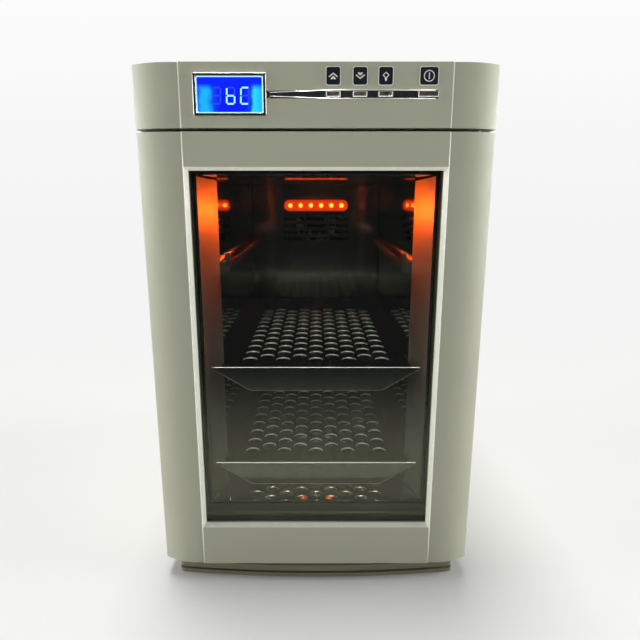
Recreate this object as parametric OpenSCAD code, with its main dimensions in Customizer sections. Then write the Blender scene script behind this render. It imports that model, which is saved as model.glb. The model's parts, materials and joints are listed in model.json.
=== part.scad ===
// Benchtop glass-door laboratory incubator with a chamber of about 16 litres.
// X runs to the right, Y from the front to the back, Z upwards.
// The origin is at the bottom, in the middle of the overall box.

/* [Cabinet] */
// Overall width of the cabinet and the door
body_w = 272; // [250:1:320]
// Overall depth, from the face of the door to the fan housing
body_d = 410; // [385:1:450]
// Overall height, from the bench to the top
body_h = 430; // [420:1:480]
// Depth of the door, without its seal
door_t = 32; // [30:1:38]
// Height of the control head above the door
head_h = 45; // [43:1:60]
// Gap between the door and the control head
seam_gap = 2.4; // [1.6:0.2:4]
// Wall thickness of the moulded shells
shell_t = 2.5; // [2:0.1:3.2]
// Thickness of the sheet steel panels
sheet_t = 1.2; // [0.8:0.1:1.6]

/* [Front form] */
// Width of the rounded wing on each side of the flat front
wing_w = 36; // [32:1:42]
// Radius of the wing
wing_r = 52; // [46:1:70]
// Height of the flat front panel above the wings
panel_step = 1.2; // [0.6:0.1:2]

/* [Window] */
// Width of the door on each side of the window
window_stile = 39.5; // [38:0.5:50]
// Height of the door below the window
window_sill = 38.5; // [34:0.5:44]
// Height of the door above the window
window_head = 27.6; // [26:0.2:40]
// Width of the bevel around the window
bevel_w = 2.5; // [1.5:0.1:3]
// Thickness of each pane
glass_t = 4; // [3:0.5:5]

/* [Chamber] */
// Thickness of each insulated side wall
side_wall = 48.5; // [44:0.5:60]
// Thickness of the insulated roof, up to the control head
roof_wall = 35; // [30:1:50]
// Thickness of the insulated back wall
rear_wall = 22; // [18:1:40]
// Height of the chamber floor above the bench
chamber_z = 60; // [56:1:64]
// Depth of the tapered throat behind the door
throat_d = 28; // [20:1:34]
// How far the throat widens on each side towards the door
throat_flare = 11.5; // [6:0.5:14]
// Thickness of the stainless steel liner
liner_t = 0.8; // [0.6:0.1:1.2]

/* [Shelves] */
// Height of the lowest shelf above the chamber floor
first_shelf = 33; // [28:1:40]
// Free height above the highest rail
top_space = 70; // [60:1:90]
// Free depth between a shelf and the back
shelf_gap = 3; // [2:1:40]
// Thickness of the shelf plate
shelf_t = 1.2; // [1:0.1:2]
// Height of the lip at the front of a shelf
lip_h = 21; // [16:1:24]
// Diameter of a hole in a shelf
hole_d = 13; // [9:0.5:15]
// Distance between two holes of a row
hole_pitch = 31; // [28:0.5:36]
// How far a rail stands out of the chamber wall
rail_w = 9; // [7.5:0.5:11]

/* [Plinth] */
// How far the plinth steps in from each side
plinth_in = 12.5; // [8:0.5:18]
// Height of the plinth's top above the bench
plinth_h = 16.5; // [14:0.5:18]
// How far the middle of the plinth's front stands ahead of its ends
plinth_bow = 7.4; // [3:0.2:10]
// Height of a foot below the plinth
foot_h = 2.6; // [2:0.2:5]
// Radius of a foot
foot_r = 9; // [7:0.5:11]

/* [Controls] */
// Width of the display frame
display_w = 52.5; // [44:0.5:54]
// Height of the display frame
display_h = 29.2; // [24:0.2:31]
// Height of the trim bar that holds the buttons
bar_h = 6; // [5.6:0.1:7]
// Width of a small button
button_w = 10.4; // [8:0.2:12]
// Width of the power button
power_w = 15; // [12:0.2:17]
// Height of a button
button_h = 3.8; // [3:0.1:4]
// Travel of a button
button_travel = 0.8; // [0.4:0.1:1.2]

/* [Door hinge] */
// Distance from the side of the door to the hinge axis
hinge_in = 12; // [11:0.5:14]
// Radius of a hinge pin
pin_r = 3; // [2.5:0.1:3.4]
// Radial clearance between a hinge pin and its bush
pin_clear = 0.05; // [0.02:0.01:0.08]
// Outer radius of a hinge bush
bush_r = 5; // [4.6:0.1:5.6]

/* [Cooling] */
// Side of the square circulation fan
fan_side = 60; // [50:1:64]
// Thickness of each fan
fan_t = 10; // [9:0.5:12]
// Number of fins on each heat sink
fin_count = 13; // [7:2:17]

/* [Hidden] */

$fn = 48;
// Small overlap that lets one cut run past a face
cut = 1;
// Clearance between pieces that are set against each other
seat = 0.3;
// Free space between the plinth and the door above it
door_lift = 1;

// How far the display frame stands ahead of the front
bezel_t = 1.8;
front_y = bezel_t - body_d / 2;
back_e = body_d - bezel_t;
half_w = body_w / 2;
flat_half = half_w - wing_w;

door_z0 = plinth_h + door_lift;
head_z0 = body_h - head_h;
door_z1 = head_z0 - seam_gap;
door_mid = (door_z0 + door_z1) / 2;

// The seal stands between the door and the collar
seal_t = 8;
collar_e = door_t + seal_t;
collar_t = 20;
wrap_e = collar_e + collar_t;
housing_t = 27;
panel_e = back_e - housing_t - sheet_t;
side_x = half_w - 1;
plinth_w = body_w - 2 * plinth_in;

// Wing profile: a short flat lead, a large arc and a small outer corner
wing_lead = 6;
corner_r = 4;
wing_sweep = asin((wing_w - wing_lead - corner_r) / (wing_r - corner_r));
wing_steps = 9;
corner_steps = 6;

chamber_w = 2 * (side_x - side_wall);
chamber_half = chamber_w / 2;
chamber_top = head_z0 - roof_wall;
chamber_h = chamber_top - chamber_z;
chamber_back = panel_e - rear_wall;
throat_end = collar_e + throat_d;
throat_half = chamber_half + throat_flare;
throat_rise = 3;

// The seal runs round the throat at this distance
seal_out = 14;
seal_rise = 20;
seal_w = 8;
seal_outer = 2 * (throat_half + seal_out);
seal_z0 = chamber_z - seal_rise;
seal_z1 = chamber_top + seal_rise;

window_w = body_w - 2 * window_stile;
window_z0 = door_z0 + window_sill;
window_z1 = door_z1 - window_head;
window_h = window_z1 - window_z0;
// How far the panes reach behind the edge of the window
pane_lap = 9;
spacer_w = 4.5;
glass_e = 6;
back_panel_t = 4;
inner_glass_e = door_t - back_panel_t - glass_t;

hinge_x = half_w - hinge_in;
hinge_e = door_t - hinge_in;
bracket_t = 2;
bush_len = 14;

// The air duct fills the back of the chamber
baffle_d = 24;
baffle_e = chamber_back - baffle_d;
cooler_z = chamber_top - 52;
block_side = 44;
sink_side = 80;
// Room for the wires round the cold block, and for the hot heat sink in the back panel
block_room = 2;
sink_room = 1;

lamp_w = 84.5;
lamp_h = 13;
lamp_z = chamber_top - 27;
led_count = 6;
led_pitch = (lamp_w - lamp_h - 2) / (led_count - 1);

shelf_e = collar_e + 6;
shelf_d = baffle_e - shelf_gap - shelf_e;
shelf_half = chamber_half - 1;
shelf_pitch = (chamber_h - first_shelf - top_space) / 2;
lip_corner = 30;
hole_row = 10.5;
back_stop_h = 9;
// The back stop is a strip of its own, spot-welded behind the plate with this seam
stop_seam = 0.1;

display_x = display_w / 2 + 11.25 - flat_half;
display_z = head_z0 + 0.505 * head_h;
bar_z = head_z0 + 0.511 * head_h;
bar_x0 = display_x + display_w / 2;
bar_x1 = 0.895 * flat_half;
bar_d = 7;
button_gap = 0.2;
button_x = [for (share = [0.124, 0.318, 0.503, 0.814]) share * flat_half];
board_e = 22;
legend_z = head_z0 + 0.787 * head_h;
legend_h = 12.4;
legend_t = 0.5;

grip_h = 96;
grip_d = 12;
grip_e = 16;

function rail_z(level) = chamber_z + first_shelf + level * shelf_pitch - shelf_t;
function arc_points(cx, cy, r, a0, a1, steps) =
    [for (i = [0:steps]) let (a = a0 + (a1 - a0) * i / steps) [cx + r * sin(a), cy - r * cos(a)]];

// Right half of the front outline, grown inwards by inset and ended at the depth end_e
function front_half(inset, end_e) = let (
    lead_x = flat_half + wing_lead,
    big = wing_r - inset,
    small = max(corner_r - inset, 0.4),
    turn_x = lead_x + (wing_r - corner_r) * sin(wing_sweep),
    turn_y = panel_step + wing_r - (wing_r - corner_r) * cos(wing_sweep)
) concat(
    [[flat_half - panel_step - inset * 0.4, inset], [flat_half - inset * 0.4, panel_step + inset]],
    arc_points(lead_x, panel_step + wing_r, big, 0, wing_sweep, wing_steps),
    arc_points(turn_x, turn_y, small, wing_sweep, 90, corner_steps),
    [[turn_x + small, end_e]]
);
function mirrored(half) = [for (i = [len(half) - 1:-1:0]) [-half[i][0], half[i][1]]];

module from_front() {
    translate([0, front_y, 0]) children();
}

module front_outline(inset, end_e) {
    right = front_half(inset, end_e);
    polygon(concat(right, mirrored(right)));
}

// A block given by its middle in x and its start in e and z
module block(x, e, z, w, d, h) {
    translate([x - w / 2, e, z]) cube([w, d, h]);
}

// A block whose front is e0, half0, z0 to z1, and whose back is narrower by taper and lower by rise
module tapered_block(e0, half0, z0, z1, e1, taper, rise) {
    polyhedron(
        points = [
            [-half0, e0, z0], [half0, e0, z0], [half0, e0, z1], [-half0, e0, z1],
            [taper - half0, e1, z0 + rise], [half0 - taper, e1, z0 + rise],
            [half0 - taper, e1, z1 - rise], [taper - half0, e1, z1 - rise]
        ],
        faces = [[0, 3, 2, 1], [4, 5, 6, 7], [0, 1, 5, 4], [1, 2, 6, 5], [2, 3, 7, 6], [3, 0, 4, 7]]
    );
}

// The throat of the chamber, grown outwards by grow
module throat(grow) {
    tapered_block(collar_e, throat_half + grow, chamber_z - throat_rise - grow, chamber_top + throat_rise + grow,
                  throat_end, throat_flare, throat_rise);
}

module ring_frame(e, t, outer_w, outer_z0, outer_z1, wall) {
    difference() {
        block(0, e, outer_z0, outer_w, t, outer_z1 - outer_z0);
        block(0, e - cut, outer_z0 + wall, outer_w - 2 * wall, t + 2 * cut,
              outer_z1 - outer_z0 - 2 * wall);
    }
}

// ---- Plinth and feet ----

plinth_r = (pow(plinth_w / 2, 2) + pow(plinth_bow, 2)) / (2 * plinth_bow);
plinth_steps = 20;
plinth_end_r = 5;
groove_z = foot_h + 4.6;
groove_h = 2.2;
groove_d = 4;

// Bowed outline of the plinth, pulled in by inset
function plinth_outline(inset) = let (
    half = plinth_w / 2 - inset,
    r = plinth_r - inset,
    span = asin((half - plinth_end_r) / r),
    end_e = plinth_r - r * cos(span)
) concat(
    arc_points(0, plinth_r, r, -span, span, plinth_steps),
    arc_points(half - plinth_end_r, end_e + plinth_end_r, plinth_end_r, span, 90, corner_steps),
    [[half, panel_e - inset], [-half, panel_e - inset]],
    arc_points(plinth_end_r - half, end_e + plinth_end_r, plinth_end_r, -90, -span, corner_steps)
);

module plinth_layer(inset, z, h) {
    translate([0, 0, z]) linear_extrude(h) polygon(plinth_outline(inset));
}

module base_plinth() {
    rim = 1.2;
    rim_w = 12;
    pocket_wall = 3;
    color("#8d8f7c") from_front() difference() {
        union() {
            plinth_layer(rim, foot_h, rim);
            plinth_layer(0, foot_h + rim, groove_z - foot_h - rim);
            plinth_layer(groove_d, groove_z, groove_h);
            plinth_layer(0, groove_z + groove_h, plinth_h - groove_z - groove_h - rim);
            plinth_layer(rim, plinth_h - rim, rim);
        }
        block(0, 2 * rim_w, foot_h - cut, plinth_w - 2 * rim_w, panel_e - 3 * rim_w,
              plinth_h - foot_h - pocket_wall + cut);
        block(plinth_w / 2, hinge_e - 14, plinth_h - bracket_t - seat, 30, 60, bracket_t + seat + cut);
        block(pad_x, pad_e - pad_fit, plinth_h - pad_sink, pad_side + 2 * pad_fit, pad_side + 2 * pad_fit,
              pad_sink + cut);
    }
    color("#8d8f7c") from_front() for (sx = [-1, 1]) for (e = foot_e)
        difference() {
            translate([sx * foot_x, e, foot_h]) cylinder(r = foot_r + 2, h = plinth_h - foot_h - pocket_wall);
            translate([sx * foot_x, e, foot_h - cut]) cylinder(r = foot_stem_r, h = 6 + cut);
        }
}

foot_x = plinth_w / 2 - 26;
foot_e = [42, panel_e - 36];
foot_stem_r = 4;
pad_x = 7 - flat_half;
pad_e = plinth_bow;
pad_side = 4;
pad_sink = 2;
pad_fit = 0.1;

module foot(sx, e) {
    color("#1c1c1a") from_front() translate([sx * foot_x, e, 0]) {
        rotate_extrude() polygon([[0, 0], [foot_r - 1, 0], [foot_r, 1], [foot_r - 0.6, foot_h], [0, foot_h]]);
        translate([0, 0, foot_h]) cylinder(r = foot_stem_r, h = 5.5);
    }
}

module door_rest_pad() {
    color("#0e0e0c") from_front()
        block(pad_x, pad_e, plinth_h - pad_sink, pad_side, pad_side, pad_sink + door_lift - seat);
}

// ---- Cabinet ----

vent_pitch = 9;
vent_w = 3.5;
vent_l = 34;

module cabinet_wrap() {
    depth = panel_e - wrap_e;
    bend_r = 6;
    side_h = body_h - 1 - plinth_h;
    color("#c9cbb8") from_front() difference() {
        translate([0, wrap_e + depth, plinth_h]) rotate([90, 0, 0]) linear_extrude(depth)
            difference() {
                wrap_outline(side_x, side_h, bend_r);
                translate([0, -cut]) wrap_outline(side_x - sheet_t, side_h - sheet_t + cut, bend_r - sheet_t);
            }
        for (sx = [-1, 1]) for (i = [4:10])
            block(sx * side_x, panel_e - i * vent_pitch, head_z0 + 8, 4 * sheet_t, vent_w, head_h - 21);
    }
}

module wrap_outline(half, h, r) {
    polygon(concat(
        [[-half, 0], [half, 0], [half, h - r]],
        [for (i = [1:corner_steps]) let (a = 90 * i / corner_steps)
            [half - r + r * cos(a), h - r + r * sin(a)]],
        [for (i = [0:corner_steps]) let (a = 90 + 90 * i / corner_steps)
            [r - half + r * cos(a), h - r + r * sin(a)]]
    ));
}

module cabinet_floor() {
    fold = 12;
    color("#a9ab9a") from_front() {
        block(0, wrap_e, plinth_h, 2 * (side_x - sheet_t), panel_e - wrap_e, sheet_t);
        block(0, wrap_e, plinth_h + sheet_t, 2 * (side_x - sheet_t), sheet_t, fold);
        block(0, panel_e - sheet_t, plinth_h + sheet_t, 2 * (side_x - sheet_t), sheet_t, fold);
    }
}

module front_collar() {
    color("#b9bbab") from_front() difference() {
        block(0, collar_e, plinth_h, 2 * side_x, collar_t, head_z0 - plinth_h - seat);
        throat(liner_t + liner_fit);
        block(0, collar_e - cut, chamber_z - throat_rise - liner_flange - liner_fit,
              2 * (throat_half + liner_flange + liner_fit), liner_t + liner_fit + cut,
              chamber_h + 2 * (throat_rise + liner_flange + liner_fit));
        block(0, collar_e + 4, plinth_h - cut, 2 * side_x - 8, collar_t, chamber_z - plinth_h - 12);
    }
}

screw_z0 = plinth_h + 23.5;
screw_pitch = (body_h - 60 - screw_z0) / 3;
panel_screws = [for (sx = [-1, 1]) for (i = [0:3]) [sx * (side_x - 12), screw_z0 + i * screw_pitch]];
housing_w = 112;
housing_h = 112;
housing_z0 = cooler_z - housing_h / 2;

module rear_panel() {
    color("#b4b6a6") from_front() difference() {
        block(0, panel_e, plinth_h, 2 * side_x, sheet_t, body_h - 1 - plinth_h);
        block(0, panel_e - cut, cooler_z - sink_side / 2 - sink_room, sink_side + 2 * sink_room,
              sheet_t + 2 * cut, sink_side + 2 * sink_room);
        block(inlet_x, panel_e - cut, inlet_z, inlet_w, sheet_t + 2 * cut, inlet_h);
        for (sx = [-1, 1]) for (i = [0:7])
            block(sx * (side_x - 49), panel_e - cut, head_z0 - 30 - i * vent_pitch, vent_l,
                  sheet_t + 2 * cut, vent_w);
        for (p = panel_screws)
            translate([p[0], panel_e - cut, p[1]]) rotate([-90, 0, 0]) cylinder(r = 1.6, h = sheet_t + 2 * cut);
    }
}

module rear_panel_screws() {
    color("#8c8c88") from_front() for (p = panel_screws)
        translate([p[0], panel_e + sheet_t, p[1]]) rotate([-90, 0, 0]) {
            difference() {
                rotate_extrude() polygon([[0, 0], [3.4, 0], [3.1, 1.2], [2, 1.9], [0, 2.1]]);
                for (a = [0, 90]) rotate([0, 0, a]) translate([-1.9, -0.35, 1.1]) cube([3.8, 0.7, 2]);
            }
            translate([0, 0, -6]) cylinder(r = 1.5, h = 6);
        }
}

module fan_housing() {
    wall = 2;
    slot_w = 3.4;
    slot_n = 11;
    slot_pitch = 7.6;
    grille_r = 43;
    side_slot_w = 4;
    side_slot_l = 14;
    side_slot_pitch = 10;
    color("#3a3b38") from_front() difference() {
        block(0, panel_e + sheet_t, housing_z0, housing_w, housing_t, housing_h);
        block(0, panel_e + sheet_t - cut, housing_z0 + wall, housing_w - 2 * wall, housing_t - wall + cut,
              housing_h - 2 * wall);
        for (i = [0:slot_n - 1]) let (z = cooler_z + (i - (slot_n - 1) / 2) * slot_pitch)
            let (chord = 2 * sqrt(max(pow(grille_r, 2) - pow(z - cooler_z, 2), 100)))
                block(0, back_e - wall - cut, z - slot_w / 2, chord, wall + 2 * cut, slot_w);
        for (sx = [-1, 1]) for (i = [0:7])
            block(sx * housing_w / 2, panel_e + sheet_t + 5, cooler_z + (i - 3.8) * side_slot_pitch, 3 * wall,
                  side_slot_l, side_slot_w);
    }
}

inlet_x = side_x - 47;
inlet_z = plinth_h + 19.5;
inlet_w = 28;
inlet_h = 21;

module power_inlet() {
    flange = 3;
    socket_w = 24;
    socket_h = 16.5;
    color("#1a1a1a") from_front() {
        difference() {
            union() {
                block(inlet_x, panel_e + sheet_t, inlet_z - flange, inlet_w + 2 * flange, 2.4,
                      inlet_h + 2 * flange);
                block(inlet_x, panel_e - 17, inlet_z + 0.2, inlet_w - 0.4, 17 + sheet_t, inlet_h - 0.4);
            }
            block(inlet_x, panel_e - 15, inlet_z + (inlet_h - socket_h) / 2, socket_w, 30, socket_h);
        }
        for (px = [-7, 0, 7])
            block(inlet_x + px, panel_e - 17, inlet_z + inlet_h / 2 - (px == 0 ? -0.5 : 4.5), 2, 12, 4);
    }
}

module insulation() {
    gap = 0.2;
    outer = 2 * (side_x - sheet_t - gap);
    z0 = plinth_h + sheet_t + gap;
    pocket = block_side + 2 * block_room;
    color("#e6dfc4") from_front() difference() {
        block(0, wrap_e + sheet_t + gap, z0, outer, panel_e - wrap_e - 2 * (sheet_t + gap), head_z0 - 2 - z0);
        block(0, wrap_e - cut, chamber_z - liner_t - gap, chamber_w + 2 * (liner_t + gap),
              chamber_back + liner_t + gap - wrap_e + cut, chamber_h + 2 * (liner_t + gap));
        throat(liner_t + liner_fit);
        block(0, chamber_back, cooler_z - pocket / 2, pocket, panel_e - chamber_back, pocket);
        block(0, panel_e - 4, cooler_z - sink_side / 2 - sink_room, sink_side + 2 * sink_room, 10,
              sink_side + 2 * sink_room);
        block(inlet_x, panel_e - 19, inlet_z - 2, inlet_w + 4, 30, inlet_h + 4);
        for (p = panel_screws)
            translate([p[0], panel_e - 8, p[1]]) rotate([-90, 0, 0]) cylinder(r = 2, h = 20);
    }
}

// ---- Chamber ----

liner_flange = 3;
liner_fit = 0.2;

module chamber_liner() {
    color("#b9b9b4") from_front() difference() {
        union() {
            block(0, throat_end, chamber_z - liner_t, chamber_w + 2 * liner_t,
                  chamber_back + liner_t - throat_end, chamber_h + 2 * liner_t);
            throat(liner_t);
            block(0, collar_e, chamber_z - throat_rise - liner_flange, 2 * (throat_half + liner_flange), liner_t,
                  chamber_h + 2 * (throat_rise + liner_flange));
        }
        block(0, throat_end - cut, chamber_z, chamber_w, chamber_back - throat_end + cut, chamber_h);
        throat(0);
        block(0, chamber_back - cut, cooler_z - block_side / 2 - 0.5, block_side + 1, 4, block_side + 1);
    }
}

// Cross section of a rail: a flange on the wall and a ledge with a turned-down edge
module rail_section() {
    t = 1;
    wall_h = 13;
    polygon([[0, -wall_h], [0, 0], [-rail_w, 0], [-rail_w, -5], [t - rail_w, -5], [t - rail_w, -t],
             [-t, -t], [-t, -wall_h]]);
}

module rail(side, level) {
    length = baffle_e - throat_end - 1;
    hook_w = 4;
    hook_t = 1.2;
    hook_h = 9;
    color("#c4c4be") from_front() translate([0, throat_end, rail_z(level)]) on_side(side)
        translate([chamber_half, 0, 0]) {
            translate([0, length, 0]) rotate([90, 0, 0]) linear_extrude(length) rail_section();
            translate([-rail_w, 0, -hook_h]) cube([rail_w, hook_t, hook_h]);
            if (level == 2) translate([-rail_w, 0, -1]) cube([hook_w, hook_t, hook_h]);
        }
}

module on_side(side) {
    if (side > 0) children();
    else mirror([1, 0, 0]) children();
}

shelf_rows = floor((shelf_d - 44) / hole_row);
function row_holes(odd) = floor((shelf_half - hole_d / 2 - 6 - (odd ? hole_pitch / 2 : 0)) / hole_pitch);

module shelf(level) {
    z = rail_z(level);
    soft = 5;
    color("#9a9c9c") from_front() {
        difference() {
            block(0, shelf_e, z, 2 * shelf_half, shelf_d - shelf_t - stop_seam, shelf_t);
            for (r = [0:shelf_rows - 1]) let (odd = r % 2 == 1, shift = odd ? hole_pitch / 2 : 0)
                for (c = [-row_holes(odd) - (odd ? 1 : 0):row_holes(odd)])
                    translate([c * hole_pitch + shift, shelf_e + 24 + r * hole_row, z - cut])
                        cylinder(d = hole_d, h = shelf_t + 2 * cut, $fn = 24);
        }
        translate([0, shelf_e + shelf_t, z]) rotate([90, 0, 0]) linear_extrude(shelf_t)
            polygon(concat(
                [[-shelf_half + 1, 0], [-shelf_half + 1, -1.5]],
                arc_points(-shelf_half + lip_corner + soft, -lip_h + soft * 1.6, soft * 1.6, -34, 0, 4),
                arc_points(shelf_half - lip_corner - soft, -lip_h + soft * 1.6, soft * 1.6, 0, 34, 4),
                [[shelf_half - 1, -1.5], [shelf_half - 1, 0]]
            ));
        block(0, shelf_e + shelf_d - shelf_t, z, 2 * shelf_half - 10, shelf_t, shelf_t + back_stop_h);
    }
}

rear_stack_e = panel_e + sheet_t - 3;

// The duct cover stands clear of the liner by this much
duct_fit = 0.4;

// A full panel with folded sides, a grille for the fan and a return slot row at the foot
module air_baffle() {
    wall = 1;
    half = chamber_half - duct_fit;
    slot_w = 27;
    slot_pitch = 31;
    color("#8b8d8c") from_front() difference() {
        block(0, baffle_e, chamber_z + duct_fit, 2 * half, baffle_d - duct_fit, chamber_h - 2 * duct_fit);
        block(0, baffle_e + wall, chamber_z + duct_fit + wall, 2 * (half - wall), baffle_d,
              chamber_h - 2 * (duct_fit + wall));
        for (row = [0:3]) for (col = [-1:1])
            block(col * slot_pitch, baffle_e - cut, cooler_z - 22 + row * 9, slot_w, wall + 2 * cut, 4);
        for (row = [0:2]) for (col = [-2:2])
            block(col * slot_pitch, baffle_e - cut, chamber_z + 7 + row * 7, slot_w, wall + 2 * cut, 3.5);
        block(0, baffle_e - cut, lamp_z - lamp_h / 2 + 1.5, lamp_w - 3, wall + 2 * cut, lamp_h - 3);
    }
}

module lamp_board() {
    color("#2c6b3a") from_front()
        block(0, baffle_e + 1.2, lamp_z - lamp_h / 2, lamp_w, 1.4, lamp_h);
    color("#ffd9a0") from_front() for (i = [0:led_count - 1])
        translate([(i - (led_count - 1) / 2) * led_pitch, baffle_e + 1.2, lamp_z]) rotate([90, 0, 0])
            rotate_extrude() polygon([[0, 0], [3.2, 0], [3.2, 1], [2.4, 1.8], [0, 2.2]]);
}

module lamp_lens() {
    color("#ffe7c8") from_front() difference() {
        lens_body(lamp_w + 2, lamp_h + 2, 2.6);
        translate([0, 0.9, 0]) lens_body(lamp_w - 4, lamp_h - 4, 2.6);
    }
}

module lens_body(w, h, d) {
    translate([0, baffle_e, lamp_z]) rotate([90, 0, 0]) linear_extrude(d)
        union() {
            square([w - h, h], center = true);
            for (sx = [-1, 1]) translate([sx * (w - h) / 2, 0]) circle(d = h);
        }
}

fan_clear = 0.8;
hub_r = 13;

module fan_frame(e, side) {
    bore = side / 2 - 2;
    color("#222222") from_front() translate([0, e, cooler_z]) rotate([-90, 0, 0]) difference() {
        union() {
            difference() {
                translate([-side / 2, -side / 2, 0]) cube([side, side, fan_t]);
                translate([0, 0, -cut]) cylinder(r = bore, h = fan_t + 2 * cut);
            }
            for (a = [45:90:315]) rotate([0, 0, a]) translate([hub_r - 2, -1.5, fan_t - 1.5])
                cube([bore - hub_r + 3, 3, 1.5]);
            translate([0, 0, fan_t - 1.5]) cylinder(r = hub_r - 1, h = 1.5);
            translate([0, 0, 2]) cylinder(r = 1.5, h = fan_t - 2);
        }
        for (sx = [-1, 1]) for (sy = [-1, 1])
            translate([sx * (side / 2 - 4), sy * (side / 2 - 4), -cut]) cylinder(r = 1.7, h = fan_t + 2 * cut);
    }
}

module fan_rotor(e, side) {
    blade_r = side / 2 - 2 - fan_clear;
    color("#303030") from_front() translate([0, e, cooler_z]) rotate([-90, 0, 0]) {
        difference() {
            cylinder(r = hub_r, h = fan_t - 2.2);
            translate([0, 0, 1.6]) cylinder(r = 1.5 + pin_clear, h = fan_t);
        }
        for (a = [0:360 / 7:359]) rotate([0, 0, a]) translate([hub_r - 1, 0, (fan_t - 2.2) / 2])
            rotate([38, 0, 0]) translate([0, -5, -0.6]) cube([blade_r - hub_r - 0.6, 9, 1.2]);
    }
}

module fins(side, e, d) {
    fin_w = 1.4;
    for (i = [0:fin_count - 1])
        block((i - (fin_count - 1) / 2) * (side - fin_w) / (fin_count - 1), e, cooler_z - side / 2, fin_w, d, side);
}

fan_e = chamber_back - 3 - 5 - seat - fan_t;
cold_base_e = chamber_back - 3;
module_side = 40;
module_t = 4;
cold_block_end = rear_stack_e - module_t;

module cold_heat_sink() {
    color("#c2c4c6") from_front() {
        fins(fan_side, cold_base_e - 5, 5);
        block(0, cold_base_e, cooler_z - fan_side / 2, fan_side, 3, fan_side);
        block(0, chamber_back, cooler_z - block_side / 2, block_side, cold_block_end - chamber_back, block_side);
    }
}

module thermoelectric_module() {
    color("#efefef") from_front()
        block(0, cold_block_end, cooler_z - module_side / 2, module_side, module_t, module_side);
}

module hot_heat_sink() {
    color("#b6b8ba") from_front() {
        block(0, rear_stack_e, cooler_z - sink_side / 2, sink_side, 4, sink_side);
        fins(sink_side, rear_stack_e + 4, 10);
    }
}

exhaust_e = rear_stack_e + 14;

// ---- Control head ----

module head_shell() {
    roof = shell_t;
    color("#8f917d") from_front() difference() {
        translate([0, 0, head_z0]) linear_extrude(head_h) front_outline(0, wrap_e);
        translate([0, 0, head_z0 + shell_t]) linear_extrude(head_h - shell_t - roof)
            front_outline(shell_t, wrap_e + cut);
        block(display_x, -cut, display_z - display_h / 2 + 1.5, display_w - 3, shell_t + 2 * cut, display_h - 3);
        block((bar_x0 + bar_x1) / 2 + 1, -cut, bar_z - bar_h / 2 + 0.3, bar_x1 - bar_x0 - 3, shell_t + 2 * cut,
              bar_h - 0.6);
        translate([hinge_x, hinge_e, head_z0 - cut]) cylinder(r = pin_r + 0.5, h = shell_t + 2 * cut);
        block(0, collar_e, head_z0 - cut, 2 * (side_x - 12), collar_t + cut, shell_t + 2 * cut);
    }
}

bezel_wall = 2;
bezel_lip = 2.4;

module display_bezel() {
    color("#c9c9c9") from_front() difference() {
        union() {
            block(display_x, -bezel_t, display_z - display_h / 2, display_w, bezel_t, display_h);
            block(display_x, 0, display_z - display_h / 2 + 1.7, display_w - 3.4, shell_t + 2, display_h - 3.4);
        }
        block(display_x, -bezel_t - cut, display_z - display_h / 2 + bezel_wall, display_w - 2 * bezel_wall,
              bezel_t + cut, display_h - 2 * bezel_wall);
        block(display_x, -cut, display_z - display_h / 2 + bezel_lip, display_w - 2 * bezel_lip, shell_t + 4,
              display_h - 2 * bezel_lip);
    }
}

module display_module() {
    inset = bezel_lip + 0.2;
    glass_in = 0.6;
    color("#1440e8") from_front()
        block(display_x, glass_in, display_z - display_h / 2 + inset, display_w - 2 * inset,
              board_e - glass_in - seat / 2, display_h - 2 * inset);
}

module control_board() {
    switch_h = 3;
    board_t = 1.6;
    board_half = flat_half - 5;
    color("#1f6b3c") from_front() {
        block(0, board_e, head_z0 + 6, 2 * board_half, board_t, head_h - 12);
        for (sx = [-1, 1]) for (z = [head_z0 + 9, body_h - 9])
            translate([sx * (board_half - 3), shell_t, z]) rotate([-90, 0, 0]) cylinder(r = 2.5, h = board_e - shell_t);
    }
    color("#202020") from_front() for (x = button_x)
        block(x, board_e - switch_h, bar_z - switch_h, 6, switch_h, 2 * switch_h);
}

supply_w = 120;
supply_d = 78;
supply_h = 34;
supply_x = half_w / 3;

module power_supply() {
    e = (wrap_e + panel_e - supply_d) / 2;
    z = head_z0 - 2;
    color("#b0b2b0") from_front() difference() {
        block(supply_x, e, z, supply_w, supply_d, supply_h);
        block(supply_x, e + sheet_t, z + sheet_t, supply_w - 2 * sheet_t, supply_d - 2 * sheet_t,
              supply_h - 2 * sheet_t);
        for (i = [0:9])
            block(supply_x + (i - 4.5) * 10, e + 18, z + supply_h / 2, 5, supply_d - 36, supply_h);
    }
}

function button_size(i) = i == 3 ? power_w : button_w;

module trim_bar() {
    tip = bar_h / 2;
    color("#9c9c9a") from_front() difference() {
        union() {
            translate([0, 0, bar_z]) rotate([90, 0, 0]) linear_extrude(0.9)
                union() {
                    polygon([[bar_x0, -3.4], [bar_x0 + 3, -1.4], [bar_x0 + 30, -bar_h / 2 + 0.6],
                             [bar_x0 + 46, -bar_h / 2], [bar_x1 - tip, -bar_h / 2], [bar_x1 - tip, bar_h / 2],
                             [bar_x0 + 46, bar_h / 2], [bar_x0 + 30, bar_h / 2 - 0.6], [bar_x0 + 3, 1.4],
                             [bar_x0, 3.4]]);
                    translate([bar_x1 - tip, 0]) circle(r = tip);
                }
            block((bar_x0 + bar_x1) / 2 + 1, 0, bar_z - bar_h / 2 + 0.4, bar_x1 - bar_x0 - 3.4, bar_d, bar_h - 0.8);
        }
        for (i = [0:3])
            block(button_x[i], -2, bar_z - button_h / 2 - button_gap, button_size(i) + 2 * button_gap, bar_d + 4,
                  button_h + 2 * button_gap);
    }
}

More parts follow.
